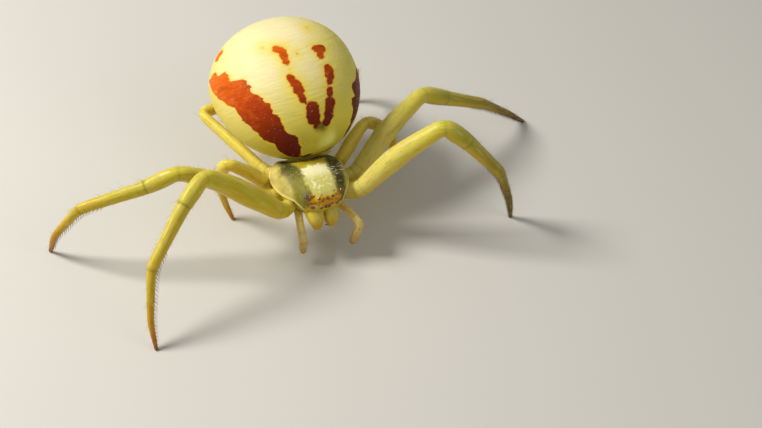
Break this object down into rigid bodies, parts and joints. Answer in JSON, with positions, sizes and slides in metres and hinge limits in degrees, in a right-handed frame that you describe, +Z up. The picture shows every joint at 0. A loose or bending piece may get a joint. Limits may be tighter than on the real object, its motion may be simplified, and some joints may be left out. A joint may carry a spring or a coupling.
{
  "type": "crab spider",
  "caption": "Life-size female flower crab spider, standing on its leg tips with the long front legs held out to the sides.",
  "frame": {"origin": "On the floor, under the middle of the spider's overall box.", "axes": "+X towards the spider's own left, -Y the way its head faces, +Z up from the floor that its feet stand on."},
  "size_m": [0.024, 0.0122, 0.0078],
  "materials": {
    "carapace": "glossy olive-green shield with a pale middle and yellowish head",
    "abdomen": "soft, finely wrinkled cream-yellow skin with red side bands and brown spots",
    "leg": "glossy, slightly see-through yellow-green skin",
    "jaw": "glossy yellow",
    "eye": "polished, near black"
  },
  "bodies": {
    "root": {"abdomen": "abdomen", "chelicera_left": "jaw", "chelicera_right": "jaw", "coxa_left_1": "leg", "coxa_left_2": "leg", "coxa_left_3": "leg", "coxa_left_4": "leg", "coxa_right_1": "leg", "coxa_right_2": "leg", "coxa_right_3": "leg", "coxa_right_4": "leg", "eye_front_median_left": "eye", "eye_front_median_right": "eye", "eye_front_side_left": "eye", "eye_front_side_right": "eye", "eye_rear_median_left": "eye", "eye_rear_median_right": "eye", "eye_rear_side_left": "eye", "eye_rear_side_right": "eye", "femur_left_1": "leg", "femur_left_2": "leg", "femur_left_3": "leg", "femur_left_4": "leg", "femur_right_1": "leg", "femur_right_2": "leg", "femur_right_3": "leg", "femur_right_4": "leg", "foot_left_1": "leg", "foot_left_2": "leg", "foot_left_3": "leg", "foot_left_4": "leg", "foot_right_1": "leg", "foot_right_2": "leg", "foot_right_3": "leg", "foot_right_4": "leg", "palp_left_lower": "leg", "palp_left_upper": "leg", "palp_right_lower": "leg", "palp_right_upper": "leg", "pedicel": "jaw", "prosoma": "carapace", "spinnerets": "jaw", "tibia_left_1": "leg", "tibia_left_2": "leg", "tibia_left_3": "leg", "tibia_left_4": "leg", "tibia_right_1": "leg", "tibia_right_2": "leg", "tibia_right_3": "leg", "tibia_right_4": "leg"}
  },
  "joints": []
}
